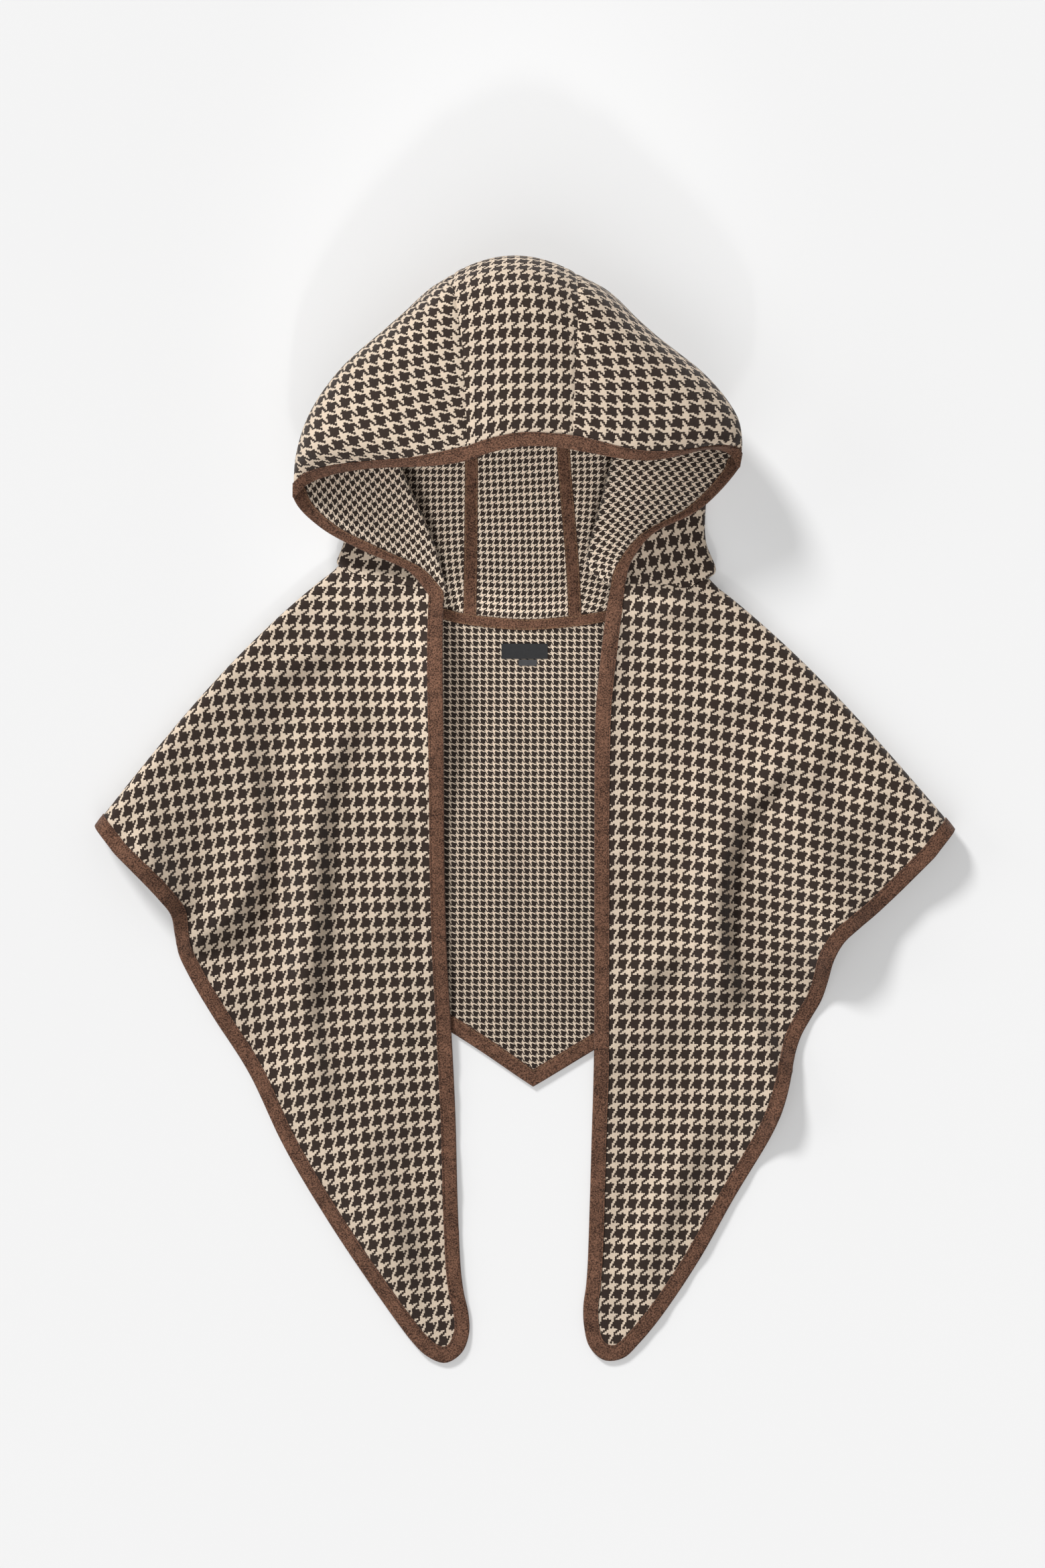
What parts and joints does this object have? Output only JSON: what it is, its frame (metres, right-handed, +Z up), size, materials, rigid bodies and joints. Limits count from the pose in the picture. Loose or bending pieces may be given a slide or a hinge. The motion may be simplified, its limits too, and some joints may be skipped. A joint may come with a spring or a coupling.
{
  "type": "hooded cape",
  "caption": "Short hooded cape of checked wool laid flat on its back, the fronts open over the back, the hood standing open, every edge bound with suede-like tape.",
  "frame": {"origin": "on the surface it lies on, below the middle of the cape's box", "axes": "+Z up from the surface, +Y from the fronts' points to the hood, +X to the viewer's right"},
  "size_m": [0.7067, 0.9076, 0.116],
  "materials": {
    "wool": "brushed double-faced wool, brown and cream houndstooth, small check inside",
    "suede": "matt brown suede-like tape",
    "label": "black woven label, bare",
    "tab": "dark grey woven size tab, bare"
  },
  "bodies": {
    "root": {"cape_body": "wool", "hood_left": "wool", "hood_right": "wool", "hood_centre": "wool", "body_binding": "suede", "hood_binding": "suede", "hood_tape_left": "suede", "hood_tape_right": "suede", "neck_tape": "suede", "label": "label", "size_tab": "tab"}
  },
  "joints": []
}
